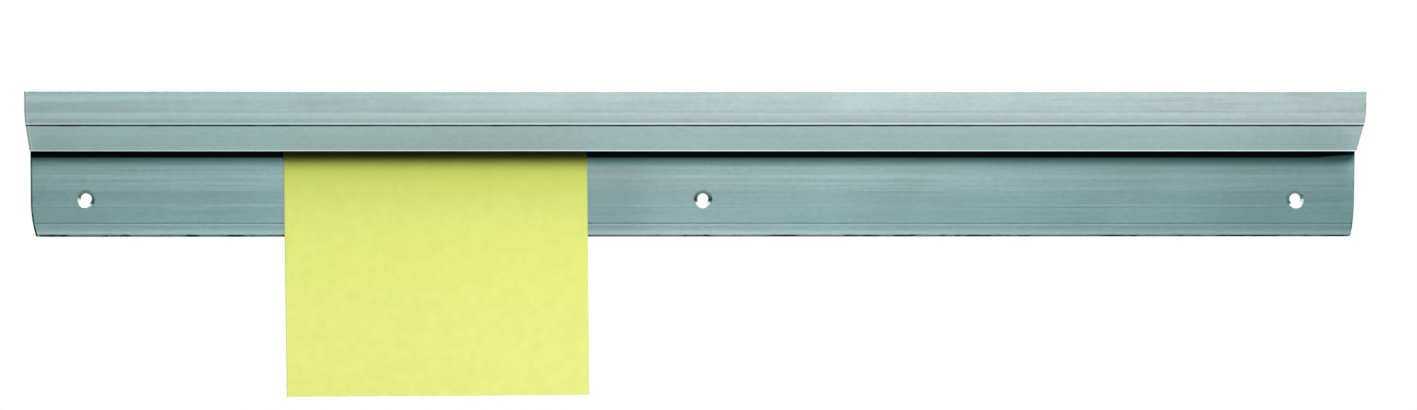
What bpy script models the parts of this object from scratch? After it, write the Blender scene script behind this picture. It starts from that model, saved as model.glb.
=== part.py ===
"""Order ticket rail: an aluminium extrusion for the wall, with loose marbles that pinch paper slips.

X runs along the rail, -Y faces the viewer and +Z is up. The origin is on the wall face, at the
middle of the rail's length and at the height of the screw holes. Sizes are in metres.
"""

import math

import bmesh
import bpy
from mathutils import Matrix, Vector

# Extrusion
RAIL_LENGTH = 0.6096
RAIL_HEIGHT = 0.0676
PLATE_WALL = 0.0020
HOOD_WALL = 0.0015
HOOD_REACH = 0.0204  # plate's front face to the hood's upright front
FOOT_HEIGHT = 0.0050  # the upper band's foot, which leans back from the upright front
FOOT_LEAN = math.radians(34)
FOOT_RADIUS = 0.0060
CREASE_DROP = 0.0156  # top of the rail down to the foot of the upper band
CREASE_STEP = 0.00045  # how far the upper band stands proud of the lower one
CREASE_RADIUS = 0.0002
SLOT_WIDTH = 0.0017  # plate's front face to the back of the lip
LIP_DROP = 0.0283  # top of the rail down to the underside of the lip
LIP_BEAD = 0.0004  # how much thicker the lip's round bead is than the hood's wall
BEAD_PROUD = 0.0003  # how far the bead stands out of the slanted band's outer face
TOP_FRONT_RADIUS = 0.0005
TOP_BACK_RADIUS = 0.0004
CHANNEL_FILLET = 0.0006
CHANNEL_CREASE_FILLET = 0.0020
NOSE_HEIGHT = 0.0062  # the plate's bottom edge thins over this height
NOSE_EDGE = 0.0009  # thickness left at the bottom edge
SCRIBE_WIDTH = 0.0004  # fine line where the nose begins
SCRIBE_DEPTH = 0.0002

# Screw holes
SCREW_RISE = 0.0172  # bottom edge of the plate up to the holes
SCREW_HOLE_DIAMETER = 0.0050
COUNTERSINK_DIAMETER = 0.0084
COUNTERSINK_ANGLE = math.radians(90)
LEFT_SCREW_INSET = 0.0254
RIGHT_SCREW_INSET = 0.0269
MIDDLE_SCREW_OFFSET = 0.0049

# Lower end corners of the plate, eased by hand after the cut
LEFT_EASE = 0.0031
RIGHT_EASE = 0.0021
EASE_RISE = 0.0165
EASE_CORNER_RADIUS = 0.0008

# Marbles, as large as the channel takes with this room round them
MARBLE_PLAY = 0.0015  # left in front of a marble, at the height of the crease
MARBLE_HEADROOM = 0.0020
MARBLE_COUNT = 18
SCATTER_SHARE = 0.251  # of the free length between two marbles
MARBLE_TURN_SHARE = 0.382  # of a turn, from one marble to the next, in the scatter
MARBLE_SIDES = 20
MARBLE_RINGS = 12

# End plugs
PLUG_LENGTH = 0.0100
PLUG_RECESS = 0.0006
PLUG_WALL = 0.0016
PLUG_FLOOR = 0.0024
PLUG_TOE = 0.0026

# Slip
SLIP_SIDE = 0.1397
SLIP_THICKNESS = 0.0003
SLIP_CENTRE = -0.1180
SLIP_HEADROOM = 0.0005  # between the slip's higher corner and the channel's ceiling
SLIP_TURN = math.radians(0.42)

CLEARANCE = 0.0003  # between pieces that touch
OVERRUN = 0.0020  # how far a cut runs past the material
MERGE_DISTANCE = 0.000003
CORNER_STEPS = 5
LIP_STEPS = 12
HOLE_STEPS = 32
EASE_STEPS = 8

# Finishes: colour, roughness, metallic, transmission
MILL_ALUMINIUM = ((0.56, 0.62, 0.61), 0.38, 1.0, 0.0)
PLUG_PLASTIC = ((0.05, 0.055, 0.06), 0.55, 0.0, 0.0)
MARBLE_GLASS = ((0.75, 0.88, 0.82), 0.05, 0.0, 1.0)
YELLOW_PAPER = ((0.84, 0.90, 0.25), 0.85, 0.0, 0.0)

# Heights, depths and radii worked out from the sizes above
CREASE_REACH = HOOD_REACH - FOOT_HEIGHT * math.tan(FOOT_LEAN)
LIP_RADIUS = (HOOD_WALL + LIP_BEAD) / 2
PLUG_FILLET = CHANNEL_FILLET + CLEARANCE
BOTTOM = -SCREW_RISE
TOP = BOTTOM + RAIL_HEIGHT
CEILING = TOP - HOOD_WALL
PLATE_FRONT = -PLATE_WALL
HALF_LENGTH = RAIL_LENGTH / 2
CHANNEL_END = HALF_LENGTH - PLUG_RECESS - PLUG_LENGTH


def moved_line(start, end, distance):
    """The line from start to end, moved by a distance to its left."""
    along = (end - start).normalized()
    aside = Vector((-along.y, along.x)) * distance
    return start + aside, end + aside


def crossing(first, second):
    """The point where two endless lines cross, each given by two points."""
    (a, b), (c, d) = first, second
    u, v = b - a, d - c
    return a + u * ((c - a).cross(v) / u.cross(v))


def arc(centre, radius, start, end, steps):
    """Points on a circle from the angle start to the angle end, both included."""
    turns = [start + (end - start) * i / steps for i in range(steps + 1)]
    return [centre + Vector((math.cos(t), math.sin(t))) * radius for t in turns]


def rounded(corners):
    """An outline's points, from (corner, radius) pairs, with an arc at each corner that has a radius."""
    points = []
    for i, (corner, radius) in enumerate(corners):
        before = (corners[i - 1][0] - corner).normalized()
        after = (corners[(i + 1) % len(corners)][0] - corner).normalized()
        if not radius:
            points.append(corner)
            continue
        half = before.angle(after) / 2
        centre = corner + (before + after).normalized() * (radius / math.sin(half))
        side = radius / math.tan(half)
        first = (corner + before * side) - centre
        last = (corner + after * side) - centre
        sweep = math.atan2(first.cross(last), first.dot(last))
        start = math.atan2(first.y, first.x)
        points += arc(centre, radius, start, start + sweep, CORNER_STEPS)
    return points


def at(reach, height):
    """A point of the section, by its reach in front of the plate's front face."""
    return Vector((PLATE_FRONT - reach, height))


def upper_band():
    """The outer corners of the hood's upper band: its top, the bend to its foot, and the foot's edge."""
    foot_edge = at(CREASE_REACH, TOP - CREASE_DROP)
    return at(HOOD_REACH, TOP), at(HOOD_REACH, foot_edge.y + FOOT_HEIGHT), foot_edge


def lip_centre():
    return at(SLOT_WIDTH + LIP_RADIUS, TOP - LIP_DROP + LIP_RADIUS)


def lower_band():
    """The outer line of the slanted band, from the rebate to where it runs into the lip's bead."""
    foot = at(CREASE_REACH - CREASE_STEP, TOP - CREASE_DROP)
    to_centre = lip_centre() - foot
    off_centre = LIP_RADIUS - BEAD_PROUD
    lean = math.asin(off_centre / to_centre.length)
    half_chord = math.sqrt(LIP_RADIUS**2 - off_centre**2)
    run = math.sqrt(to_centre.length_squared - off_centre**2) - half_chord
    along = Matrix.Rotation(-lean, 2) @ to_centre.normalized()
    return foot, foot + along * run


def channel_walls(gap=0.0):
    """Four of the channel's walls, each moved into the channel by a gap: plate, ceiling, front, slope."""
    top_front, bend, _ = upper_band()
    plate = (at(gap, BOTTOM), at(gap, TOP))
    ceiling = (at(0, CEILING - gap), at(HOOD_REACH, CEILING - gap))
    front = moved_line(top_front, bend, HOOD_WALL + gap)
    slope = moved_line(*lower_band(), HOOD_WALL + gap)
    return plate, ceiling, front, slope


def channel_corners(gap=0.0):
    """The channel's corners, drawn in by a gap: back, front, bend and crease, from the top down."""
    plate, ceiling, front, slope = channel_walls(gap)
    _, bend, foot_edge = upper_band()
    foot = moved_line(bend, foot_edge, HOOD_WALL + gap)
    return crossing(plate, ceiling), crossing(ceiling, front), crossing(front, foot), slope[0]


def lip_outline():
    """The lip's bead, from the inner face of the slope round to its outer face."""
    centre = lip_centre()
    _, _, _, slope = channel_walls()
    along = (slope[1] - slope[0]).normalized()
    foot = slope[0] + along * (centre - slope[0]).dot(along)
    reach = math.sqrt(LIP_RADIUS**2 - (foot - centre).length_squared)
    first = foot + along * reach - centre
    last = lower_band()[1] - centre
    start = math.atan2(first.y, first.x)
    short_way = math.atan2(first.cross(last), first.dot(last)) % math.tau
    return arc(centre, LIP_RADIUS, start, start + short_way - math.tau, LIP_STEPS)


def nose_outline():
    """The front of the plate's bottom edge, upwards: a long arc that ends in a scribed line."""
    height = NOSE_HEIGHT - SCRIBE_WIDTH
    setback = PLATE_WALL - NOSE_EDGE
    radius = (height**2 + setback**2) / (2 * setback)
    centre = Vector((PLATE_FRONT + radius, BOTTOM + height))
    sweep = math.asin(height / radius)
    nose = arc(centre, radius, math.pi + sweep, math.pi, CORNER_STEPS)
    line_top = BOTTOM + NOSE_HEIGHT
    scribe = Vector((PLATE_FRONT + SCRIBE_DEPTH, line_top - SCRIBE_WIDTH / 2))
    return nose + [scribe, Vector((PLATE_FRONT, line_top))]


def rail_outline():
    """The extrusion's section, in world Y and Z."""
    plate, _, _, slope = channel_walls()
    back, front, inner_bend, crease = channel_corners()
    inside = rounded(
        [
            (plate[0], 0),
            (back, CHANNEL_FILLET),
            (front, CHANNEL_FILLET),
            (inner_bend, FOOT_RADIUS - HOOD_WALL),
            (crease, CHANNEL_CREASE_FILLET),
            (slope[1], 0),
        ]
    )[1:-1]
    top_front, bend, foot_edge = upper_band()
    rebate, _ = lower_band()
    outside = rounded(
        [
            (rebate, 0),
            (foot_edge, CREASE_RADIUS),
            (bend, FOOT_RADIUS),
            (top_front, TOP_FRONT_RADIUS),
            (Vector((0, TOP)), TOP_BACK_RADIUS),
            (Vector((0, BOTTOM)), 0),
        ]
    )
    return nose_outline() + inside + lip_outline() + outside


def plug_outline(gap):
    """An end plug's section: the channel's shape, drawn in by a gap and cut off above the slot."""
    plate, _, _, slope = channel_walls(gap)
    back, front, bend, crease = channel_corners(gap)
    slot_side = (plate[0] - Vector((PLUG_TOE, 0)), plate[1] - Vector((PLUG_TOE, 0)))
    toe = crossing(slot_side, slope)
    return rounded(
        [
            (Vector((plate[0].x, toe.y)), PLUG_FILLET),
            (back, PLUG_FILLET),
            (front, PLUG_FILLET),
            (bend, FOOT_RADIUS - HOOD_WALL - gap),
            (crease, CHANNEL_CREASE_FILLET),
            (toe, PLUG_FILLET),
        ]
    )


def new_collection(name):
    collection = bpy.data.collections.new(name)
    bpy.context.scene.collection.children.link(collection)
    return collection


def new_object(name, mesh, collection, parent=None):
    piece = bpy.data.objects.new(name, mesh)
    collection.objects.link(piece)
    piece.parent = parent
    return piece


def finish_material(name, colour, roughness, metallic, transmission):
    material = bpy.data.materials.new(name)
    material.use_nodes = True
    shader = material.node_tree.nodes["Principled BSDF"]
    shader.inputs["Base Color"].default_value = (*colour, 1.0)
    shader.inputs["Roughness"].default_value = roughness
    shader.inputs["Metallic"].default_value = metallic
    shader.inputs["Transmission Weight"].default_value = transmission
    material.diffuse_color = (*colour, 1.0)
    return material


def extruded_mesh(name, outline, thickness, collection, place):
    """A mesh made by filling a flat outline and giving it a thickness, centred on its plane."""
    curve = bpy.data.curves.new(name, "CURVE")
    curve.dimensions = "2D"
    curve.fill_mode = "BOTH"
    curve.extrude = thickness / 2
    spline = curve.splines.new("POLY")
    spline.points.add(len(outline) - 1)
    for point, (x, y) in zip(spline.points, outline):
        point.co = (x, y, 0, 1)
    spline.use_cyclic_u = True
    drawn = new_object(name + "_outline", curve, collection)
    drawn.matrix_world = place
    bpy.context.view_layer.update()
    evaluated = drawn.evaluated_get(bpy.context.evaluated_depsgraph_get())
    mesh = bpy.data.meshes.new_from_object(evaluated)
    mesh.name = name
    bpy.data.objects.remove(drawn)
    welded = bmesh.new()
    welded.from_mesh(mesh)
    bmesh.ops.remove_doubles(welded, verts=welded.verts, dist=MERGE_DISTANCE)
    bmesh.ops.recalc_face_normals(welded, faces=welded.faces)
    welded.to_mesh(mesh)
    welded.free()
    return mesh


def across(x):
    """Stands a section, drawn in Y and Z, square across the rail at a place along X."""
    turn = Matrix(((0, 0, 1), (1, 0, 0), (0, 1, 0))).to_4x4()
    return Matrix.Translation((x, 0, 0)) @ turn


def facing(x, y, z):
    """Stands an outline, drawn in X and Z, upright and facing the viewer."""
    return Matrix.Translation((x, y, z)) @ Matrix.Rotation(math.pi / 2, 4, "X")


def extruded_piece(name, outline, thickness, collection, place, parent=None):
    mesh = extruded_mesh(name, outline, thickness, collection, place)
    piece = new_object(name, mesh, collection, parent)
    piece.matrix_world = place
    return piece


def make_cutter(cutter):
    cutter.hide_render = True
    cutter.display_type = "WIRE"
    return cutter


def cut_with(piece, name, cutters):
    """Takes an object, or all the objects of a collection, out of a piece."""
    cut = piece.modifiers.new(name, "BOOLEAN")
    cut.operation = "DIFFERENCE"
    cut.solver = "EXACT"
    if isinstance(cutters, bpy.types.Collection):
        cut.operand_type = "COLLECTION"
        cut.collection = cutters
    else:
        cut.object = cutters


def screw_hole_cutter(name, x, collection):
    """A turned cutter on the hole's axis: the bore, then the countersink's cone past the plate's front."""
    bore = SCREW_HOLE_DIAMETER / 2
    rim = COUNTERSINK_DIAMETER / 2
    slope = math.tan(COUNTERSINK_ANGLE / 2)
    cone_foot = PLATE_WALL - (rim - bore) / slope
    profile = [
        (0, PLATE_WALL + OVERRUN),
        (rim + OVERRUN * slope, PLATE_WALL + OVERRUN),
        (bore, cone_foot),
        (bore, -OVERRUN),
        (0, -OVERRUN),
    ]
    turned = bmesh.new()
    corners = [turned.verts.new((radius, 0, out)) for radius, out in profile]
    for first, second in zip(corners, corners[1:]):
        turned.edges.new((first, second))
    mesh = bpy.data.meshes.new(name)
    turned.to_mesh(mesh)
    turned.free()
    cutter = make_cutter(new_object(name, mesh, collection))
    cutter.location = (x, 0, 0)
    cutter.rotation_euler = (math.pi / 2, 0, 0)
    turning = cutter.modifiers.new("Turn", "SCREW")
    turning.steps = HOLE_STEPS
    turning.render_steps = HOLE_STEPS
    turning.use_merge_vertices = True
    turning.merge_threshold = MERGE_DISTANCE
    return cutter


def ease_cutter(name, side, ease, collection):
    """Takes the lower corner off one end of the plate along a parabola, which meets the end upright."""
    sweep = []
    for i in range(EASE_STEPS + 1):
        share = i / EASE_STEPS
        sweep.append(Vector((-side * ease * share**2, EASE_RISE * (1 - share))))
    corner = sweep.pop()
    inward = corner - Vector((side * EASE_CORNER_RADIUS, 0))
    turn = rounded([(sweep[-1], 0), (corner, EASE_CORNER_RADIUS), (inward, 0)])[1:-1]
    outline = sweep + turn
    outline.append(Vector((turn[-1].x, -OVERRUN)))
    outline.append(Vector((side * OVERRUN, -OVERRUN)))
    outline.append(Vector((side * OVERRUN, EASE_RISE)))
    thickness = 2 * (PLATE_WALL + OVERRUN)
    place = facing(side * HALF_LENGTH, 0, BOTTOM)
    return make_cutter(extruded_piece(name, outline, thickness, collection, place))


def make_rail(collection, cutters, parent, material):
    rail = extruded_piece(
        "rail_extrusion", rail_outline(), RAIL_LENGTH, collection, across(0), parent
    )
    rail.data.materials.append(material)
    places = {
        "left_hole_cut": -HALF_LENGTH + LEFT_SCREW_INSET,
        "middle_hole_cut": MIDDLE_SCREW_OFFSET,
        "right_hole_cut": HALF_LENGTH - RIGHT_SCREW_INSET,
    }
    for name, x in places.items():
        screw_hole_cutter(name, x, cutters)
    ease_cutter("left_ease_cut", -1, LEFT_EASE, cutters)
    ease_cutter("right_ease_cut", 1, RIGHT_EASE, cutters)
    cut_with(rail, "Holes and ends", cutters)
    return rail


def make_plug(name, side, collection, cutters, parent, material):
    """A moulded plug, cored from its outer end."""
    middle = side * (HALF_LENGTH - PLUG_RECESS - PLUG_LENGTH / 2)
    place = across(middle)
    plug = extruded_piece(
        name, plug_outline(CLEARANCE), PLUG_LENGTH, collection, place, parent
    )
    plug.data.materials.append(material)
    depth = PLUG_LENGTH - PLUG_FLOOR + OVERRUN
    core_place = across(middle + side * (PLUG_FLOOR + OVERRUN) / 2)
    core = extruded_piece(
        name + "_core", plug_outline(CLEARANCE + PLUG_WALL), depth, cutters, core_place
    )
    cut_with(plug, "Core", make_cutter(core))
    return plug


def marble_radius():
    """The largest that keeps both its play in front, at the crease, and its headroom."""
    *_, crease = channel_corners()
    fits_depth = (PLATE_FRONT - crease.x - MARBLE_PLAY) / 2
    plate, _, _, slope = channel_walls(CLEARANCE)
    _, ceiling, _, _ = channel_walls(MARBLE_HEADROOM)
    corners = [crossing(plate, ceiling), crossing(ceiling, slope), crossing(slope, plate)]
    around = sum((corners[i] - corners[i - 1]).length for i in range(3))
    area = abs((corners[1] - corners[0]).cross(corners[2] - corners[0])) / 2
    return min(fits_depth, 2 * area / around)


def over_slip(x):
    return abs(x - SLIP_CENTRE) < SLIP_SIDE / 2 + marble_radius()


def marble_rest(x):
    """Where a marble lies: on the slope, and against the plate, or against the slip that hangs there."""
    stand_off = CLEARANCE + (SLIP_THICKNESS + CLEARANCE if over_slip(x) else 0)
    radius = marble_radius()
    upright, _, _, _ = channel_walls(stand_off + radius)
    _, _, _, slope = channel_walls(CLEARANCE + radius)
    y, z = crossing(upright, slope)
    return Vector((x, y, z))


def marble_lift(x):
    """How far a marble can be pushed up the slope before the ceiling or the hood's front stops it."""
    radius = marble_radius()
    _, ceiling, front, slope = channel_walls(CLEARANCE + radius)
    _, _, bend, crease = channel_corners(CLEARANCE)
    foot = moved_line(bend, crease, radius)
    y, z = marble_rest(x).yz
    start = Vector((y, z))
    stops = [crossing(wall, slope) for wall in (ceiling, front, foot)]
    return min((stop - start).length for stop in stops)


def marble_places():
    """The marbles' places along the rail: even, with a small scatter that follows a fixed turn."""
    diameter = 2 * marble_radius()
    pitch = (2 * CHANNEL_END - diameter) / MARBLE_COUNT
    scatter = SCATTER_SHARE * (pitch - diameter)
    first = (pitch - MARBLE_COUNT * pitch) / 2
    turn = math.tau * MARBLE_TURN_SHARE
    return [first + i * pitch + scatter * math.sin(turn * i) for i in range(MARBLE_COUNT)]


def make_marbles(collection, parent, material):
    ball = bmesh.new()
    bmesh.ops.create_uvsphere(
        ball, u_segments=MARBLE_SIDES, v_segments=MARBLE_RINGS, radius=marble_radius()
    )
    mesh = bpy.data.meshes.new("marble")
    ball.to_mesh(mesh)
    ball.free()
    mesh.materials.append(material)
    mesh.shade_smooth()
    marbles = []
    for i, x in enumerate(marble_places()):
        marble = new_object(f"marble_{i + 1:02d}", mesh, collection, parent)
        marble.location = marble_rest(x)
        marbles.append(marble)
    return marbles


def make_slip(collection, parent, material):
    """The paper slip, a little turned, close in front of the plate and pushed up to the ceiling."""
    sheet = bmesh.new()
    bmesh.ops.create_cube(
        sheet, size=1, matrix=Matrix.Diagonal((SLIP_SIDE, SLIP_THICKNESS, SLIP_SIDE, 1))
    )
    mesh = bpy.data.meshes.new("order_slip")
    sheet.to_mesh(mesh)
    sheet.free()
    mesh.materials.append(material)
    slip = new_object("order_slip", mesh, collection, parent)
    depth = PLATE_WALL + CLEARANCE + SLIP_THICKNESS / 2
    half_height = SLIP_SIDE / 2 * (math.cos(SLIP_TURN) + math.sin(SLIP_TURN))
    slip.location = (SLIP_CENTRE, -depth, CEILING - SLIP_HEADROOM - half_height)
    slip.rotation_euler = (0, -SLIP_TURN, 0)
    return slip


def main():
    for old in list(bpy.data.objects):
        bpy.data.objects.remove(old)
    parts = new_collection("order_ticket_rail")
    cutters = new_collection("cutters")
    plug_cutters = new_collection("plug_cutters")
    root = new_object("rail_origin", None, parts)
    aluminium = finish_material("mill_aluminium", *MILL_ALUMINIUM)
    plastic = finish_material("plug_plastic", *PLUG_PLASTIC)
    glass = finish_material("marble_glass", *MARBLE_GLASS)
    paper = finish_material("yellow_paper", *YELLOW_PAPER)
    make_rail(parts, cutters, root, aluminium)
    make_plug("end_plug_left", -1, parts, plug_cutters, root, plastic)
    make_plug("end_plug_right", 1, parts, plug_cutters, root, plastic)
    make_marbles(parts, root, glass)
    make_slip(parts, root, paper)


main()
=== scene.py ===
"""Looks of the order ticket rail: extruded aluminium, paper slip, glass marbles, moulded plugs.

X runs along the rail, -Y faces the viewer and +Z is up. Sizes are in metres, as in the frame.
"""

import math
import random

import bmesh
import bpy
from mathutils import Matrix, Vector


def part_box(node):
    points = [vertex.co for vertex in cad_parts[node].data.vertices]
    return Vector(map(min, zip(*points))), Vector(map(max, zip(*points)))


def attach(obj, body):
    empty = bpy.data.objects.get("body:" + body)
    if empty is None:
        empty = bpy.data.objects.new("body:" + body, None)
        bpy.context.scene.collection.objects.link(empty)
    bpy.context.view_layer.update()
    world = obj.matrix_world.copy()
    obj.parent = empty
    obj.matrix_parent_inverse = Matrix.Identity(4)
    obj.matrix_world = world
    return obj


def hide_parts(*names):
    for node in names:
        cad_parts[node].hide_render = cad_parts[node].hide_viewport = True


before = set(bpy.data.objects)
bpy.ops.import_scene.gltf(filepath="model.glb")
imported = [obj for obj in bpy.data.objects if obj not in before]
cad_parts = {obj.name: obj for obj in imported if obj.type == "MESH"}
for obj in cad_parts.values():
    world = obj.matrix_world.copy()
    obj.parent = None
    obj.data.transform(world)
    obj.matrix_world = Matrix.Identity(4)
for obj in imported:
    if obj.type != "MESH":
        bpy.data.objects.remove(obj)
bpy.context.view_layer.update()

# Places and sizes repeated from the part's source
HALF_LENGTH = 0.3048
TOP = 0.0504
BOTTOM = -0.0172
HOOD_FRONT = -0.0224
PLATE_FRONT = -0.0020
BEND_HEIGHT = 0.0398  # where the hood's upright front turns back
REBATE_HEIGHT = 0.0348  # foot of the upper band
LIP_UNDERSIDE = 0.0221
SCRIBE_HEIGHT = -0.0112
HOLE_PLACES = (-0.2794, 0.0049, 0.2779)
COUNTERSINK_RADIUS = 0.0042
SOLID_LEFT_EASE = 0.0031  # how far the plate's eased lower corners draw in
SOLID_RIGHT_EASE = 0.0021
EASE_RISE = 0.0165
PLUG_RECESS = 0.0006
PLUG_LENGTH = 0.0100
PLUG_FLOOR = 0.0024
SLIP_SIDE = 0.1397
SLIP_CENTRE = -0.1180
SLIP_DEPTH = -0.00245
SLIP_MIDDLE = -0.0219675
SLIP_TURN = math.radians(0.42)
MARBLE_BODIES = [f"ball_{i:02d}" for i in range(1, 19)]

# Small departures from the solids
LEFT_EASE = 0.0023  # how far the eased lower corners draw in here
RIGHT_EASE = 0.0014
BOTTOM_DROP = 0.00022  # how far the plate's lower edge hangs below the solid's, at mid length
BOTTOM_SLANT = 0.00014  # added to that at the left end, and taken from it at the right end
SLIP_SKEW = math.radians(0.22)  # how far its sides are from square to its lower edge
SLIP_TRIM = 0.0008  # cut off its lower edge
PAPER_THICKNESS = 0.00012

# Colours of the metal
# The hood's bands and the plate's front, parts of the one extrusion, each get a tone set for how
# the light falls on it: painted light and shade
UPPER_BAND = (0.54, 0.68, 0.68, 1.0)
FOOT_BAND = (0.475, 0.60, 0.60, 1.0)
FOOT_LEFT = (0.435, 0.55, 0.55, 1.0)
LOWER_BAND = (0.50, 0.66, 0.66, 1.0)
LOWER_TOP = (0.54, 0.70, 0.70, 1.0)
PLATE_TOP = (0.525, 0.72, 0.72, 1.0)
PLATE_MIDDLE = (0.36, 0.55, 0.55, 1.0)
PLATE_NOSE = (0.66, 0.86, 0.86, 1.0)
PLATE_BACK = (0.40, 0.50, 0.50, 1.0)
TOP_FACE = (0.32, 0.39, 0.39, 1.0)
SAWN_DEEP = (0.40, 0.46, 0.46, 1.0)
SAWN_PALE = (0.66, 0.72, 0.72, 1.0)
SAWN_SMUDGE = (0.25, 0.28, 0.28, 1.0)
RING_DEEP = (0.34, 0.48, 0.47, 1.0)
RING_PALE = (0.66, 0.84, 0.83, 1.0)
# Painted highlight and painted shade in the countersinks
RING_LIT = (0.96, 1.00, 1.00, 1.0)
RING_SHADE = (0.040, 0.120, 0.118, 1.0)

# Tints, which multiply a colour: painted light and shade towards the rail's ends, in the hood's
# shade and on the paper near the rail
HOOD_LEFT = (1.13, 1.22, 1.22, 1.0)
LOWER_LEFT = (0.98, 0.93, 0.93, 1.0)
LOWER_RIGHT = (0.87, 0.88, 0.88, 1.0)
PLATE_LEFT = (1.22, 1.30, 1.30, 1.0)
PLATE_RIGHT = (0.66, 0.75, 0.75, 1.0)
PLATE_CYAN = (1.02, 1.11, 1.11, 1.0)
PAPER_MIDDLE = (0.965, 0.985, 0.84, 1.0)
PAPER_TOP = (0.98, 1.06, 0.78, 1.0)

# Colours of smudges, grime and wear, and of painted shade and highlights
SMUDGE_COLOUR = (0.30, 0.36, 0.35, 1.0)
NEAR_BLACK = (0.020, 0.026, 0.027, 1.0)
GRIME_AND_SHADE_COLOUR = (0.006, 0.024, 0.025, 1.0)
SHADE_COLOUR = (0.002, 0.320, 0.320, 1.0)
SLOT_SHADE_COLOUR = (0.006, 0.009, 0.009, 1.0)
WEAR_AND_HIGHLIGHT_COLOUR = (0.92, 1.00, 1.00, 1.0)
CREST_HIGHLIGHT_COLOUR = (0.82, 1.00, 1.00, 1.0)
LIP_WEAR_AND_HIGHLIGHT_COLOUR = (0.88, 1.00, 1.00, 1.0)

# Colours of the paper, with its painted shade and shadow, the plastic and the glass
PAPER_DEEP = (0.90, 0.965, 0.255, 1.0)
PAPER_PALE = (0.94, 1.000, 0.285, 1.0)
PAPER_SHADE = (0.04, 0.09, 0.01, 1.0)
PAPER_SPECK = (0.62, 0.66, 0.16, 1.0)
PAPER_EDGE_SHADOW = (0.30, 0.34, 0.20, 1.0)
PAPER_IN_METAL = (0.62, 0.70, 0.68, 1.0)
PLASTIC_DEEP = (0.030, 0.032, 0.035, 1.0)
PLASTIC_PALE = (0.055, 0.058, 0.062, 1.0)
PLASTIC_SCRATCH = (0.16, 0.165, 0.17, 1.0)
GLASS_CLEAR = (0.93, 0.985, 0.965, 1.0)
GLASS_RUBBED = (0.80, 0.93, 0.90, 1.0)
WHITE = (1.0, 1.0, 1.0, 1.0)


# Shader tools


def put(tree, kind, inputs=None, **settings):
    """Adds a node. An input given as a socket is linked, and any other value is set."""
    made = tree.nodes.new(kind)
    for name, value in settings.items():
        setattr(made, name, value)
    for name, value in (inputs or {}).items():
        if isinstance(value, bpy.types.NodeSocket):
            tree.links.new(value, made.inputs[name])
        else:
            made.inputs[name].default_value = value
    return made


def calc(tree, operation, *values):
    """Adds a maths node. More than two values are taken from the left, two at a time."""
    while len(values) > 2:
        values = (calc(tree, operation, *values[:2]), *values[2:])
    made = put(tree, "ShaderNodeMath", dict(enumerate(values)), operation=operation)
    return made.outputs[0]


def times(tree, *values):
    return calc(tree, "MULTIPLY", *values)


def plus(tree, *values):
    return calc(tree, "ADD", *values)


def minus(tree, first, second):
    return calc(tree, "SUBTRACT", first, second)


def largest(tree, *values):
    return calc(tree, "MAXIMUM", *values)


def vector_calc(tree, operation, first, second):
    made = put(tree, "ShaderNodeVectorMath", {0: first, 1: second}, operation=operation)
    return made.outputs[0]


def stretched(tree, vector, factors):
    return vector_calc(tree, "MULTIPLY", vector, factors)


def shifted(tree, vector, distances):
    return vector_calc(tree, "ADD", vector, distances)


def joined(tree, x, y, z):
    return put(tree, "ShaderNodeCombineXYZ", {0: x, 1: y, 2: z}).outputs[0]


def parts_of(tree, vector):
    made = put(tree, "ShaderNodeSeparateXYZ", {0: vector})
    return made.outputs[0], made.outputs[1], made.outputs[2]


def ranged(tree, value, low, high, out_low=0.0, out_high=1.0, smooth=True):
    """Maps low..high to out_low..out_high, held at both ends."""
    inputs = {
        "Value": value, "From Min": low, "From Max": high, "To Min": out_low, "To Max": out_high,
    }
    kind = "SMOOTHSTEP" if smooth else "LINEAR"
    return put(tree, "ShaderNodeMapRange", inputs, interpolation_type=kind).outputs[0]


def falling(tree, value, low, high):
    """1 up to low, and 0 from high on."""
    return ranged(tree, value, low, high, 1.0, 0.0)


def mixed(tree, factor, first, second, mode="MIX"):
    inputs = {0: factor, 6: first, 7: second}
    return put(tree, "ShaderNodeMix", inputs, data_type="RGBA", blend_type=mode).outputs[2]


def tinted(tree, factor, colour, tint):
    return mixed(tree, factor, colour, tint, "MULTIPLY")


def noise(tree, vector, scale, detail=2.0, roughness=0.5, distortion=0.0):
    inputs = {
        "Vector": vector, "Scale": scale, "Detail": detail, "Roughness": roughness,
        "Distortion": distortion,
    }
    return put(tree, "ShaderNodeTexNoise", inputs).outputs[0]


def bumped(tree, height, strength, distance):
    inputs = {"Height": height, "Strength": strength, "Distance": distance}
    return put(tree, "ShaderNodeBump", inputs).outputs[0]


def new_group(name, inputs, outputs):
    """A group with named sockets: inputs are (name, kind, default) and outputs are (name, kind)."""
    group = bpy.data.node_groups.new(name, "ShaderNodeTree")
    for label, kind, default in inputs:
        made = group.interface.new_socket(label, in_out="INPUT", socket_type="NodeSocket" + kind)
        if default is not None:
            made.default_value = default
    for label, kind in outputs:
        group.interface.new_socket(label, in_out="OUTPUT", socket_type="NodeSocket" + kind)
    entry = group.nodes.new("NodeGroupInput")
    leave = group.nodes.new("NodeGroupOutput")
    return group, entry.outputs, leave.inputs


def use(tree, group, inputs):
    return put(tree, "ShaderNodeGroup", inputs, node_tree=group).outputs


def object_place(tree):
    return tree.nodes.new("ShaderNodeTexCoord").outputs["Object"]


def new_material(name):
    material = bpy.data.materials.new(name)
    material.use_nodes = True
    return material, material.node_tree, material.node_tree.nodes["Principled BSDF"]


def feed(tree, shader, **links):
    for name, value in links.items():
        tree.links.new(value, shader.inputs[name.replace("_", " ")])


# Effects shared by several finishes


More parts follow.
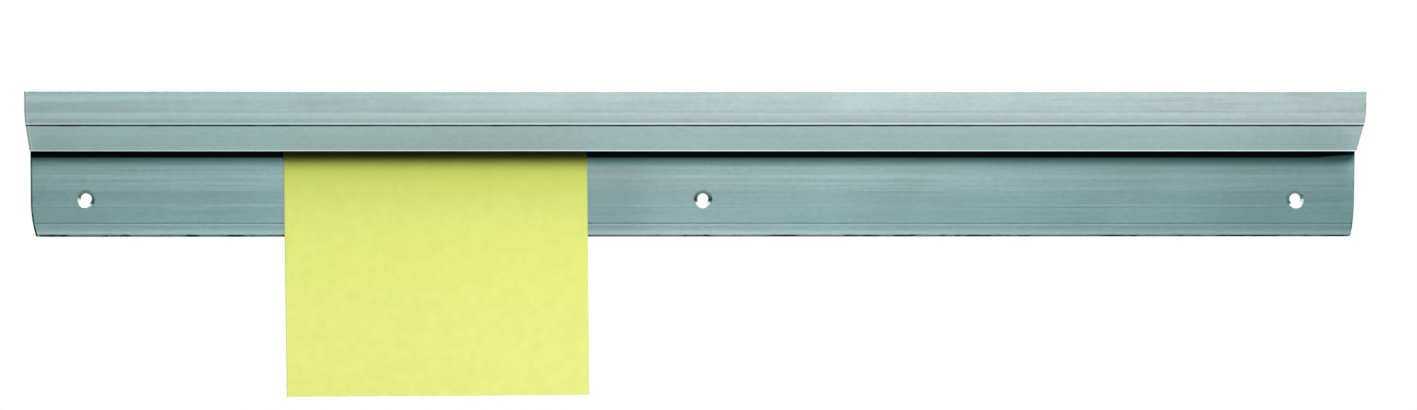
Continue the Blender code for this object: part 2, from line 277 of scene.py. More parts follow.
def make_die_lines():
    """Straight lines that the die leaves along an extrusion: fine lines, soft bands, thin hairs."""
    group, entry, leave = new_group(
        "Die lines",
        [("Vector", "Vector", None), ("Pitch", "Float", 0.001), ("Length", "Float", 0.1)],
        [("Fine", "Float"), ("Broad", "Float"), ("Hairs", "Float")],
    )
    along = calc(group, "DIVIDE", 1.0, entry["Length"])
    cross = calc(group, "DIVIDE", 1.0, entry["Pitch"])
    endless = stretched(group, entry["Vector"], joined(group, 0.0, cross, cross))
    endless = shifted(group, endless, (0.0, 0.0, 5.3))
    place = stretched(group, entry["Vector"], joined(group, along, cross, cross))
    broken = shifted(group, stretched(group, place, (1.0, 0.30, 0.30)), (9.1, 4.3, 6.6))
    fade = ranged(group, noise(group, broken, 1.0, 3.0, 0.55), 0.32, 0.68)

    straight = minus(group, noise(group, endless, 1.0, 2.0, 0.6), 0.5)
    dashes = minus(group, noise(group, place, 1.0, 2.0, 0.6), 0.5)
    fine = plus(group, times(group, straight, fade), times(group, dashes, 0.45))
    group.links.new(plus(group, fine, 0.5), leave["Fine"])

    wide = stretched(group, endless, (0.0, 0.15, 0.15))
    drift = stretched(group, place, (0.16, 0.10, 0.10))
    broad = plus(group, noise(group, wide, 1.0, 2.0, 0.5), noise(group, drift, 1.0, 2.0, 0.5))
    group.links.new(times(group, broad, 0.5), leave["Broad"])

    contour = noise(group, stretched(group, endless, (0.0, 0.24, 0.24)), 1.0, 1.0, 0.4)
    off_line = calc(group, "ABSOLUTE", minus(group, contour, 0.5))
    hair = falling(group, off_line, 0.0, 0.030)
    group.links.new(times(group, hair, fade), leave["Hairs"])
    return group


def make_height_band():
    """A soft-edged band round the section at a height, from 0 outside to 1 inside."""
    group, entry, leave = new_group(
        "Height band",
        [
            ("Vector", "Vector", None), ("Low", "Float", 0.0), ("High", "Float", 0.01),
            ("Soft", "Float", 0.001),
        ],
        [("Band", "Float")],
    )
    _, _, z = parts_of(group, entry["Vector"])
    rise = ranged(group, z, minus(group, entry["Low"], entry["Soft"]), entry["Low"])
    fall = falling(group, z, entry["High"], plus(group, entry["High"], entry["Soft"]))
    group.links.new(times(group, rise, fall), leave["Band"])
    return group


def make_broken_line():
    """Grime and painted shade in a long crease or along an edge: a mask that comes and goes along
    X.
    """
    group, entry, leave = new_group(
        "Broken line",
        [
            ("Vector", "Vector", None), ("Dash", "Float", 0.01), ("Cover", "Float", 0.5),
            ("Ragged", "Float", 0.0004),
        ],
        [("Mask", "Float"), ("Wander", "Float")],
    )
    along = calc(group, "DIVIDE", 1.0, entry["Dash"])
    line = stretched(group, entry["Vector"], joined(group, along, 260.0, 260.0))
    clumps = noise(group, line, 1.0, 5.0, 0.65)
    threshold = minus(group, 0.70, times(group, entry["Cover"], 0.44))
    mask = ranged(group, clumps, threshold, plus(group, threshold, 0.18))
    group.links.new(mask, leave["Mask"])
    wander = minus(group, noise(group, shifted(group, line, (17.3, 5.1, 2.7)), 2.0, 3.0, 0.6), 0.5)
    group.links.new(times(group, wander, entry["Ragged"]), leave["Wander"])
    return group


def make_handling():
    """Marks of use: soft smudges, and short fine scratches that lie at any angle."""
    group, entry, leave = new_group(
        "Handling marks",
        [("Vector", "Vector", None), ("Smudge size", "Float", 0.03), ("Scratches", "Float", 0.5)],
        [("Smudge", "Float"), ("Scratch", "Float")],
    )
    frequency = calc(group, "DIVIDE", 1.0, entry["Smudge size"])
    smudge = noise(group, entry["Vector"], frequency, 3.0, 0.55, 0.4)
    group.links.new(ranged(group, smudge, 0.30, 0.72), leave["Smudge"])
    scratches = []
    for turn, shift in ((0.10, 0.0), (-0.28, 3.1), (0.75, 7.7)):
        mapping = put(group, "ShaderNodeMapping", {
            "Vector": entry["Vector"], "Location": (shift, shift, shift),
            "Rotation": (0.0, turn, 0.0), "Scale": (0.007, 0.002, 0.00024),
        }, vector_type="TEXTURE")
        hair = noise(group, mapping.outputs[0], 1.0, 1.0, 0.5)
        scratches.append(ranged(group, hair, 0.735, 0.80))
    scratch = times(group, largest(group, *scratches), entry["Scratches"])
    group.links.new(scratch, leave["Scratch"])
    return group


def make_turned_rings():
    """Rings that a countersink leaves round each screw hole."""
    group, entry, leave = new_group(
        "Turned rings",
        [("Vector", "Vector", None), ("Pitch", "Float", 0.0001)],
        [("Ring", "Float"), ("Radius", "Float"), ("Side", "Float")],
    )
    near = 0.02
    x, _, z = parts_of(group, entry["Vector"])
    side = 0.0
    for place in HOLE_PLACES:
        away = minus(group, x, place)
        is_near = calc(group, "LESS_THAN", calc(group, "ABSOLUTE", away), near)
        side = plus(group, times(group, away, is_near), side)
    square = plus(group, times(group, side, side), times(group, z, z))
    radius = calc(group, "SQRT", square)
    line = joined(group, calc(group, "DIVIDE", radius, entry["Pitch"]), x, 0.0)
    group.links.new(noise(group, line, 1.0, 2.0, 0.5), leave["Ring"])
    group.links.new(radius, leave["Radius"])
    group.links.new(side, leave["Side"])
    return group


def make_end_reach():
    """How far a place is in from each end of the plate, along X, following its eased corners."""
    group, entry, leave = new_group(
        "End reach", [("Vector", "Vector", None)], [("Left", "Float"), ("Right", "Float")]
    )
    x, _, z = parts_of(group, entry["Vector"])
    share = ranged(group, z, BOTTOM, BOTTOM + EASE_RISE, 1.0, 0.0, smooth=False)
    square = times(group, share, share)
    from_left = plus(group, x, HALF_LENGTH)
    from_right = minus(group, HALF_LENGTH, x)
    group.links.new(minus(group, from_left, times(group, square, LEFT_EASE)), leave["Left"])
    group.links.new(minus(group, from_right, times(group, square, RIGHT_EASE)), leave["Right"])
    return group


def make_fibres():
    """Paper's cloudy formation, its short fibres and a few darker specks."""
    group, entry, leave = new_group(
        "Paper fibres",
        [("Vector", "Vector", None), ("Fibre", "Float", 0.0004)],
        [("Cloud", "Float"), ("Fibre", "Float"), ("Speck", "Float")],
    )
    frequency = calc(group, "DIVIDE", 1.0, entry["Fibre"])
    group.links.new(noise(group, entry["Vector"], 210.0, 4.0, 0.6), leave["Cloud"])
    strands = []
    for turn in (0.4, 1.9, 2.8):
        mapping = put(group, "ShaderNodeMapping", {
            "Vector": entry["Vector"], "Rotation": (0.0, turn, 0.0), "Scale": (0.18, 1.0, 1.0),
        })
        strands.append(noise(group, mapping.outputs[0], frequency, 2.0, 0.6))
    group.links.new(calc(group, "DIVIDE", plus(group, *strands), 3.0), leave["Fibre"])
    specks = noise(group, entry["Vector"], 1500.0, 1.0, 0.5)
    group.links.new(ranged(group, specks, 0.72, 0.78), leave["Speck"])
    return group


DIE_LINES = make_die_lines()
HEIGHT_BAND = make_height_band()
BROKEN_LINE = make_broken_line()
HANDLING = make_handling()
TURNED_RINGS = make_turned_rings()
END_REACH = make_end_reach()
FIBRES = make_fibres()


def band(tree, place, low, high, soft):
    inputs = {"Vector": place, "Low": low, "High": high, "Soft": soft}
    return use(tree, HEIGHT_BAND, inputs)["Band"]


def broken_line(tree, place, dash, cover, ragged):
    inputs = {"Vector": place, "Dash": dash, "Cover": cover, "Ragged": ragged}
    return use(tree, BROKEN_LINE, inputs)


def handled(tree, place, smudge_size, scratches):
    inputs = {"Vector": place, "Smudge size": smudge_size, "Scratches": scratches}
    return use(tree, HANDLING, inputs)


# The extrusion's finish


def zones(tree, place):
    """Masks for the hood, for all that faces the front, and for the plate's front."""
    _, y, z = parts_of(tree, place)
    behind_hood = ranged(tree, y, PLATE_FRONT - 0.0006, PLATE_FRONT - 0.0002)
    in_front = falling(tree, y, PLATE_FRONT + 0.0010, PLATE_FRONT + 0.0016)
    below_hood = falling(tree, z, 0.040, 0.044)
    on_plate = times(tree, behind_hood, in_front, below_hood)
    return minus(tree, 1.0, behind_hood), in_front, on_plate


def hood_tint(tree, place, to_left):
    """The hood's bands, toned for how the light falls on each as painted light and shade: the
    slanting lower one, the bend, the upright front and its darker brow, paler at the left end and a
    little darker at the right.
    """
    x, y, z = parts_of(tree, place)
    foot = mixed(tree, to_left, FOOT_BAND, FOOT_LEFT)
    on_upright = ranged(tree, z, BEND_HEIGHT - 0.0032, BEND_HEIGHT - 0.0014)
    upper = mixed(tree, on_upright, foot, UPPER_BAND)

    near_rebate = ranged(tree, z, REBATE_HEIGHT - 0.005, REBATE_HEIGHT)
    lower = mixed(tree, near_rebate, LOWER_BAND, LOWER_TOP)
    lower = tinted(tree, ranged(tree, x, 0.24, 0.30), lower, LOWER_RIGHT)
    lower = tinted(tree, to_left, lower, LOWER_LEFT)

    hood = mixed(tree, band(tree, place, REBATE_HEIGHT, TOP + 0.01, 0.0003), lower, upper)
    hood = tinted(tree, to_left, hood, HOOD_LEFT)
    # Darker along the rounded top of the front edge
    at_top = ranged(tree, z, TOP - 0.0007, TOP - 0.0002)
    at_front = ranged(tree, y, HOOD_FRONT + 0.0002, HOOD_FRONT + 0.0006, 0.5, 0.0)
    return mixed(tree, times(tree, at_top, at_front), hood, NEAR_BLACK)


def plate_tint(tree, place, to_left):
    """The plate's front, toned for how the light falls on it as painted light and shade: paler
    under the lip and along its thinned nose, greener in the hood's shade, paler at the left end and
    darker at the right.
    """
    x, _, z = parts_of(tree, place)
    plate = mixed(tree, ranged(tree, z, -0.002, 0.014), PLATE_MIDDLE, PLATE_TOP)
    plate = tinted(tree, band(tree, place, 0.0150, 0.0168, 0.0026), plate, PLATE_CYAN)
    on_nose = ranged(tree, z, BOTTOM + 0.0010, SCRIBE_HEIGHT, 1.0, 0.0, smooth=False)
    from_middle = calc(tree, "ABSOLUTE", x)
    nose = times(tree, on_nose, ranged(tree, from_middle, 0.05, 0.22, 0.80, 0.50))
    plate = mixed(tree, nose, plate, PLATE_NOSE)
    plate = tinted(tree, ranged(tree, x, 0.02, 0.31, smooth=False), plate, PLATE_RIGHT)
    return tinted(tree, to_left, plate, PLATE_LEFT)


def metal_level(tree, place, lines, on_hood, on_plate):
    """How far die lines and mottle change the metal, with painted highlights along the bend and the
    brow and painted shade on the plate beside the slip. 1 leaves it as it is.
    """
    x, _, _ = parts_of(tree, place)
    depth = ranged(tree, on_plate, 0.0, 1.0, 0.17, 0.32)
    level = plus(tree, times(tree, minus(tree, lines["Fine"], 0.5), depth), 1.0)
    mottle = noise(tree, stretched(tree, place, (0.6, 1.0, 1.0)), 520.0, 4.0, 0.7)
    for value, low, high in ((lines["Broad"], 0.95, 1.05), (mottle, 0.945, 1.055)):
        level = times(tree, level, ranged(tree, value, 0.30, 0.70, low, high, smooth=False))
    hairs = times(tree, lines["Hairs"], ranged(tree, on_plate, 0.0, 1.0, 0.05, 0.10))
    level = times(tree, level, minus(tree, 1.0, hairs))

    # Painted highlight along the bend of the hood
    bend = band(tree, place, BEND_HEIGHT + 0.0002, BEND_HEIGHT + 0.0006, 0.0013)
    bend = times(tree, bend, on_hood)
    level = times(tree, level, ranged(tree, bend, 0.0, 1.0, 1.0, 1.27, smooth=False))

    # Painted highlight along the brow, strongest at the left end
    brow = times(tree, band(tree, place, TOP - 0.0040, TOP - 0.0026, 0.0016), on_hood)
    brow_gain = ranged(tree, x, -0.275, -0.20, 0.24, 0.055)
    level = times(tree, level, plus(tree, times(tree, brow, brow_gain), 1.0))

    shade_place = -0.046  # painted shade on the plate beside the slip
    away = calc(tree, "ABSOLUTE", minus(tree, x, shade_place))
    slip_side_shade = times(tree, ranged(tree, away, 0.010, 0.036, 0.13, 0.0), on_plate)
    return times(tree, level, minus(tree, 1.0, slip_side_shade))


def grime_and_shade_lines(tree, place, on_hood, on_plate):
    """Grime and painted shade in the rebate, along the bottom edge, and in and just below the
    scribed line.
    """
    rebate_dashes = broken_line(tree, place, 0.022, 0.55, 0.0004)
    wandering = shifted(tree, place, joined(tree, 0.0, 0.0, rebate_dashes["Wander"]))
    rebate = band(tree, wandering, REBATE_HEIGHT - 0.0006, REBATE_HEIGHT + 0.0001, 0.0001)
    rebate = times(tree, rebate, ranged(tree, rebate_dashes["Mask"], 0.0, 1.0, 0.92, 1.0), on_hood)

    edge = broken_line(tree, place, 0.011, 0.60, 0.0004)
    wandering = shifted(tree, place, joined(tree, 0.0, 0.0, edge["Wander"]))
    rim = band(tree, wandering, BOTTOM - 0.0010, BOTTOM + 0.00062, 0.0003)
    rim = times(tree, rim, ranged(tree, edge["Mask"], 0.0, 1.0, 0.68, 0.96), on_plate)

    line = band(tree, place, SCRIBE_HEIGHT - 0.00018, SCRIBE_HEIGHT + 0.00018, 0.0003)
    below = band(tree, place, SCRIBE_HEIGHT - 0.0020, SCRIBE_HEIGHT, 0.0005)
    scribe = largest(tree, times(tree, line, 0.58), times(tree, below, 0.12))
    return largest(tree, rebate, rim, times(tree, scribe, on_plate))


def end_rims(tree, place, on_hood, in_front):
    """Painted shade as dark rims along the two ends, and a painted highlight as a pale line inside
    the left one.
    """
    x, y, z = parts_of(tree, place)
    reach = use(tree, END_REACH, {"Vector": place})
    upright = joined(tree, z, y, x)  # so that the broken line runs up and down
    ragged_rim = broken_line(tree, upright, 0.004, 0.50, 0.0006)

    left = falling(tree, plus(tree, reach["Left"], ragged_rim["Wander"]), 0.0006, 0.0009)
    left = times(tree, left, ranged(tree, z, BOTTOM + 0.004, BOTTOM + 0.020, 1.0, 0.70))
    left = times(tree, left, ranged(tree, on_hood, 0.0, 1.0, 1.0, 0.35))
    right = falling(tree, plus(tree, reach["Right"], ragged_rim["Wander"]), 0.0006, 0.0010)
    at_corner = ranged(tree, z, BOTTOM + 0.005, BOTTOM + 0.012, 1.0, 0.22)
    at_corner = largest(tree, at_corner, ranged(tree, z, 0.038, 0.042, 0.0, 0.8))
    right = times(tree, right, times(tree, ragged_rim["Mask"], at_corner))
    dark = times(tree, largest(tree, left, right), in_front)

    left_highlight = ranged(tree, reach["Left"], 0.0007, 0.0010)
    left_highlight = times(tree, left_highlight, falling(tree, reach["Left"], 0.0014, 0.0017))
    where = largest(tree, on_hood, falling(tree, z, BOTTOM, BOTTOM + 0.009))
    return dark, times(tree, left_highlight, where)


def slot_shade(tree, place, in_front):
    """Painted shade in the slot between lip and plate and on the plate just below the lip, which
    reaches a little higher at the right end.
    """
    x, y, z = parts_of(tree, place)
    lowered = minus(tree, z, ranged(tree, x, 0.283, 0.307, 0.0, 0.0013))
    slot = times(tree, ranged(tree, lowered, 0.0184, 0.0196), falling(tree, z, 0.0245, 0.0265))
    inside = ranged(tree, y, PLATE_FRONT - 0.0031, PLATE_FRONT - 0.0026, 0.0, 0.985)
    return times(tree, slot, times(tree, in_front, inside))


def brushed_tangent(tree, shader, amount):
    """Spreads the gloss across the die lines, which run along X."""
    shader.inputs["Anisotropic"].default_value = amount
    tangent = put(tree, "ShaderNodeTangent", direction_type="RADIAL", axis="X")
    tree.links.new(tangent.outputs[0], shader.inputs["Tangent"])


def make_extruded_aluminium():
    """Mill-finish extrusion: die lines, smudges and scratches, grime and painted shade in the
    rebate and along the edges, painted shade under the lip, painted highlights at the bend, brow,
    crest and left end, and a lip worn smooth with a painted highlight.
    """
    material, tree, shader = new_material("extruded aluminium")
    place = object_place(tree)
    x, y, z = parts_of(tree, place)
    on_hood, in_front, on_plate = zones(tree, place)
    to_left = falling(tree, x, -0.27, 0.0)
    lines = use(tree, DIE_LINES, {"Vector": place, "Pitch": 0.0006, "Length": 0.045})
    marks = handled(tree, place, 0.040, 0.8)

    behind_plate = mixed(tree, in_front, PLATE_BACK, hood_tint(tree, place, to_left))
    tint = mixed(tree, on_plate, behind_plate, plate_tint(tree, place, to_left))
    on_top = ranged(tree, z, TOP - 0.0002, TOP - 0.00005)
    on_top = times(tree, on_top, ranged(tree, y, HOOD_FRONT + 0.0006, HOOD_FRONT + 0.0012))
    tint = mixed(tree, on_top, tint, TOP_FACE)
    level = metal_level(tree, place, lines, on_hood, on_plate)
    levels = put(tree, "ShaderNodeCombineColor", {0: level, 1: level, 2: level}).outputs[0]
    colour = tinted(tree, 1.0, tint, levels)
    colour = mixed(tree, times(tree, marks["Smudge"], 0.05), colour, SMUDGE_COLOUR)
    colour = mixed(tree, times(tree, marks["Scratch"], 0.3), colour, WEAR_AND_HIGHLIGHT_COLOUR)

    # Painted shade of the hood on the plate below the lip
    under_lip = times(tree, ranged(tree, z, 0.0150, 0.0190, 0.0, 0.55), on_plate)
    colour = mixed(tree, under_lip, colour, SHADE_COLOUR)
    # Grime and painted shade in the rebate, along the bottom edge and at the scribed line
    darkened = grime_and_shade_lines(tree, place, on_hood, on_plate)
    # Dark rims at the ends are painted shade, and the pale line in from the left end is a painted
    # highlight
    rims, end_highlight = end_rims(tree, place, on_hood, in_front)
    colour = mixed(tree, largest(tree, darkened, rims), colour, GRIME_AND_SHADE_COLOUR)
    colour = mixed(tree, times(tree, end_highlight, 0.38), colour, WEAR_AND_HIGHLIGHT_COLOUR)
    # A painted highlight along the crest just above the rebate
    crest = band(tree, place, REBATE_HEIGHT + 0.0002, REBATE_HEIGHT + 0.0009, 0.00015)
    crest = times(tree, crest, on_hood, ranged(tree, x, 0.10, 0.25, 0.75, 0.55))
    colour = mixed(tree, crest, colour, CREST_HIGHLIGHT_COLOUR)
    # A paler band along the lip, worn smooth, with a painted highlight
    lip = band(tree, place, LIP_UNDERSIDE - 0.001, LIP_UNDERSIDE + 0.00068, 0.0001)
    lip = times(tree, lip, on_hood)
    colour = mixed(tree, lip, colour, LIP_WEAR_AND_HIGHLIGHT_COLOUR)
    # Painted shade in the slot and just below the lip
    colour = mixed(tree, slot_shade(tree, place, in_front), colour, SLOT_SHADE_COLOUR)

    # Darker for diffuse rays, so that the metal doesn't tint the paper
    rays = put(tree, "ShaderNodeLightPath").outputs
    colour = mixed(tree, times(tree, rays["Is Diffuse Ray"], 0.9), colour, NEAR_BLACK)

    rough = ranged(tree, lines["Fine"], 0.30, 0.70, 0.43, 0.49, smooth=False)
    rough = plus(tree, rough, times(tree, marks["Smudge"], 0.03))
    rough = plus(tree, rough, times(tree, darkened, 0.25))
    rough = minus(tree, rough, times(tree, lip, 0.17))
    height = minus(tree, times(tree, lines["Fine"], 0.6), times(tree, lines["Hairs"], 0.5))
    height = minus(tree, height, times(tree, marks["Scratch"], 0.5))
    shader.inputs["Metallic"].default_value = 1.0
    brushed_tangent(tree, shader, 0.5)
    normal = bumped(tree, height, 0.3, 0.00003)
    feed(tree, shader, Base_Color=colour, Roughness=rough, Normal=normal)
    return material


# Other finishes


def make_sawn_aluminium():
    """The cut ends: pale metal with the saw's fine slanting marks."""
    material, tree, shader = new_material("sawn aluminium")
    place = object_place(tree)
    mapping = put(tree, "ShaderNodeMapping", {
        "Vector": place, "Rotation": (0.5, 0.0, 0.0), "Scale": (1.0, 260.0, 5200.0),
    })
    cuts = noise(tree, mapping.outputs[0], 1.0, 3.0, 0.6)
    marks = handled(tree, place, 0.006, 0.2)
    colour = mixed(tree, cuts, SAWN_DEEP, SAWN_PALE)
    colour = mixed(tree, times(tree, marks["Smudge"], 0.25), colour, SAWN_SMUDGE)
    rough = ranged(tree, cuts, 0.3, 0.7, 0.34, 0.5)
    normal = bumped(tree, cuts, 0.5, 0.00004)
    shader.inputs["Metallic"].default_value = 1.0
    feed(tree, shader, Base_Color=colour, Roughness=rough, Normal=normal)
    return material


def make_turned_aluminium():
    """The countersinks: turned rings, with a painted highlight along the lower half of each and
    painted shade above.
    """
    material, tree, shader = new_material("turned aluminium")
    place = object_place(tree)
    rings = use(tree, TURNED_RINGS, {"Vector": place, "Pitch": 0.00012})
    x, _, z = parts_of(tree, place)
    leaning = times(tree, rings["Side"], x, 1.6)  # turns the lit part with the hole's place
    across = minus(tree, z, leaning)
    # Painted highlight along the lower half
    lit = falling(tree, across, -0.0017, -0.0010)
    lit = times(tree, lit, ranged(tree, rings["Radius"], 0.0037, 0.0041, 1.0, 0.15))
    # Painted shade on the upper half
    darkened = ranged(tree, across, -0.0011, -0.0003, 0.0, 0.80)
    darkened = times(tree, darkened, ranged(tree, rings["Radius"], 0.0036, 0.0041, 1.0, 0.62))
    colour = mixed(tree, rings["Ring"], RING_DEEP, RING_PALE)
    colour = mixed(tree, lit, colour, RING_LIT)
    colour = mixed(tree, darkened, colour, RING_SHADE)
    rough = ranged(tree, rings["Ring"], 0.3, 0.7, 0.26, 0.40)
    rough = plus(tree, rough, times(tree, lit, 0.25))
    metallic = ranged(tree, lit, 0.0, 1.0, 1.0, 0.30, smooth=False)
    normal = bumped(tree, rings["Ring"], 0.4, 0.00003)
    feed(tree, shader, Base_Color=colour, Roughness=rough, Metallic=metallic, Normal=normal)
    return material


def make_yellow_paper():
    """Dyed paper, with painted shade that deepens its tone towards the rail and under the lip, and
    a painted shadow along its left edge.
    """
    material, tree, shader = new_material("yellow paper")
    place = object_place(tree)
    x, _, z = parts_of(tree, place)
    paper = use(tree, FIBRES, {"Vector": place, "Fibre": 0.0006})
    colour = mixed(tree, ranged(tree, paper["Cloud"], 0.3, 0.7), PAPER_DEEP, PAPER_PALE)
    # Deeper and yellower towards the rail: painted shade
    colour = tinted(tree, ranged(tree, z, -0.080, -0.020), colour, PAPER_MIDDLE)
    colour = tinted(tree, ranged(tree, z, -0.005, 0.019), colour, PAPER_TOP)

    # The painted shade under the lip goes when the slip is pulled out from under the hood
    below_lip = ranged(tree, z, 0.0155, 0.0215, 0.0, 0.80)
    shade = times(tree, below_lip, falling(tree, z, LIP_UNDERSIDE + 0.0001, LIP_UNDERSIDE + 0.0015))
    shade_reach = 0.030
    openness = put(tree, "ShaderNodeAmbientOcclusion", {"Distance": shade_reach}, samples=16)
    under_hood = falling(tree, openness.outputs["AO"], 0.88, 0.98)
    colour = mixed(tree, times(tree, shade, under_hood), colour, PAPER_SHADE)
    colour = mixed(tree, times(tree, paper["Speck"], 0.35), colour, PAPER_SPECK)

    # A painted shadow along the slip's left edge
    leaning = times(tree, minus(tree, z, SLIP_MIDDLE), math.tan(SLIP_TURN + SLIP_SKEW))
    from_left = plus(tree, minus(tree, x, SLIP_CENTRE - SLIP_SIDE / 2), leaning)
    cut = ranged(tree, from_left, 0.0001, 0.0006, 0.45, 0.0)
    colour = mixed(tree, cut, colour, PAPER_EDGE_SHADOW)

    # Greyer in reflections, so that the paper doesn't tint the metal
    in_metal = put(tree, "ShaderNodeLightPath").outputs["Is Glossy Ray"]
    colour = mixed(tree, times(tree, in_metal, 0.85), colour, PAPER_IN_METAL)

    rough = ranged(tree, paper["Fibre"], 0.3, 0.7, 0.78, 0.92)
    height = plus(tree, paper["Fibre"], times(tree, paper["Cloud"], 0.4))
    normal = bumped(tree, height, 0.25, 0.00006)
    shader.inputs["Specular IOR Level"].default_value = 0.3
    shader.inputs["Sheen Weight"].default_value = 0.08
    feed(tree, shader, Base_Color=colour, Roughness=rough, Normal=normal)
    return material


def make_moulded_plastic():
    """Black plastic with a fine moulded grain, smudged and lightly scratched."""
    material, tree, shader = new_material("moulded black plastic")
    place = object_place(tree)
    grain = noise(tree, place, 5200.0, 2.0, 0.6)
    marks = handled(tree, place, 0.008, 0.4)
    colour = mixed(tree, marks["Smudge"], PLASTIC_DEEP, PLASTIC_PALE)
    colour = mixed(tree, marks["Scratch"], colour, PLASTIC_SCRATCH)
    rough = ranged(tree, grain, 0.3, 0.7, 0.45, 0.62)
    normal = bumped(tree, grain, 0.3, 0.00005)
    feed(tree, shader, Base_Color=colour, Roughness=rough, Normal=normal)
    return material


def make_marble_glass():
    """Clear glass with a faint green cast, a little rubbed where the marbles knock together."""
    material, tree, shader = new_material("marble glass")
    marks = handled(tree, object_place(tree), 0.004, 1.0)
    colour = mixed(tree, marks["Smudge"], GLASS_CLEAR, GLASS_RUBBED)
    rough = ranged(tree, marks["Smudge"], 0.4, 1.0, 0.01, 0.07)
    rough = plus(tree, rough, times(tree, marks["Scratch"], 0.25))
    shader.inputs["Transmission Weight"].default_value = 1.0
    shader.inputs["IOR"].default_value = 1.52
    feed(tree, shader, Base_Color=colour, Roughness=rough)
    return material


def make_vane_glass(name, deep, pale):
    """Opaque glass of a marble's vane, streaked where the gather was twisted."""
    material, tree, shader = new_material(name)
    streaks = noise(tree, object_place(tree), 700.0, 3.0, 0.55, 0.4)
    colour = mixed(tree, ranged(tree, streaks, 0.35, 0.65), deep, pale)
    rough = ranged(tree, streaks, 0.3, 0.7, 0.18, 0.34)
    feed(tree, shader, Base_Color=colour, Roughness=rough)
    return material


EXTRUDED = make_extruded_aluminium()
SAWN = make_sawn_aluminium()
TURNED = make_turned_aluminium()
PAPER = make_yellow_paper()
PLASTIC = make_moulded_plastic()
GLASS = make_marble_glass()
VANES = [
    make_vane_glass("blue vane glass", (0.02, 0.08, 0.36, 1.0), (0.10, 0.32, 0.70, 1.0)),
    make_vane_glass("green vane glass", (0.02, 0.20, 0.08, 1.0), (0.16, 0.52, 0.24, 1.0)),
    make_vane_glass("amber vane glass", (0.42, 0.13, 0.02, 1.0), (0.80, 0.42, 0.08, 1.0)),
    make_vane_glass("white vane glass", (0.62, 0.64, 0.62, 1.0), (0.88, 0.90, 0.88, 1.0)),
]


# Pieces

NEAR_END = 0.3  # a face further out than this that looks along X is a cut end
SHARP_TURN = 0.6  # radians between the faces of an edge that gets a bevel
MARBLE_SEED = 4100


def merged_copy(node):
    """A bmesh of a CAD node's shape, with its corners joined and its flat faces whole."""
    work = bmesh.new()
    work.from_mesh(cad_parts[node].data)
    bmesh.ops.remove_doubles(work, verts=work.verts, dist=0.000002)
    bmesh.ops.dissolve_limit(
        work, angle_limit=math.radians(0.5), use_dissolve_boundaries=False,
        verts=work.verts, edges=work.edges, delimit={"NORMAL"},
    )
    bmesh.ops.recalc_face_normals(work, faces=work.faces)
    return work


def put_in_order(work):
    """Sorts corners, edges and faces by place, so that each run makes the same mesh."""
    for items, place in (
        (work.verts, lambda vert: vert.co),
        (work.edges, lambda edge: edge.verts[0].co + edge.verts[1].co),
        (work.faces, lambda face: face.calc_center_median()),
    ):
        in_order = sorted(items, key=lambda item: tuple(place(item)))
        ranks = {item: rank for rank, item in enumerate(in_order)}
        items.sort(key=ranks.get)


def new_piece(name, work, materials, sharp_degrees=30.0):
    """Makes a piece of a bmesh, at the origin, smooth but for its sharp edges."""
    put_in_order(work)
    mesh = bpy.data.meshes.new(name)
    work.to_mesh(mesh)
    work.free()
    for material in materials:
        mesh.materials.append(material)
    mesh.shade_smooth()
    mesh.set_sharp_from_angle(angle=math.radians(sharp_degrees))
    piece = bpy.data.objects.new(name, mesh)
    bpy.context.scene.collection.objects.link(piece)
    return piece


def take_place(piece, node, body):
    """The piece stands for a CAD node and on a body."""
    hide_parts(node)
    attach(piece, body)


def weigh_normals(piece):
    """Keeps large faces flat beside the narrow faces of their bevels."""
    piece.modifiers.new("Even shading", "WEIGHTED_NORMAL").keep_sharp = True


def bevel_edges(work, edges, width):
    bmesh.ops.bevel(
        work, geom=edges, offset=width, offset_type="OFFSET", segments=2, profile=0.5,
        affect="EDGES", clamp_overlap=False, material=-1,
    )


def hole_radius(point):
    return min(math.hypot(point.x - place, point.z) for place in HOLE_PLACES)


def lower_nose(work):
    """Lowers the plate's bottom edge a little, more at the left than at the right."""
    for vert in work.verts:
        low_share = max(0.0, SCRIBE_HEIGHT - vert.co.z) / (SCRIBE_HEIGHT - BOTTOM)
        drop = BOTTOM_DROP - BOTTOM_SLANT * vert.co.x / HALF_LENGTH
        vert.co.z -= low_share * drop


def tighten_corner(work, side, solid_ease, ease):
    """Scales how far an eased lower corner draws in from the end of the plate."""
    for vert in work.verts:
        inset = HALF_LENGTH - vert.co.x * side
        if vert.co.z < BOTTOM + EASE_RISE and inset < solid_ease + 0.0001:
            vert.co.x = (HALF_LENGTH - inset * ease / solid_ease) * side


def rim_edges(work):
    """Edges round the cut ends and round the countersinks."""
    near_hole = COUNTERSINK_RADIUS + 0.0002
    rims = []
    for edge in work.edges:
        if len(edge.link_faces) != 2:
            continue
        middle = (edge.verts[0].co + edge.verts[1].co) / 2
        turn = edge.calc_face_angle(0)
        ends = [
            face for face in edge.link_faces
            if abs(face.normal.x) > 0.95 and abs(middle.x) > NEAR_END
        ]
        on_end = len(ends) == 1 and turn > 0.5
        at_hole = hole_radius(middle) < near_hole and turn > 0.3 and edge.calc_length() < 0.002
        if on_end or at_hole:
            rims.append(edge)
    return rims


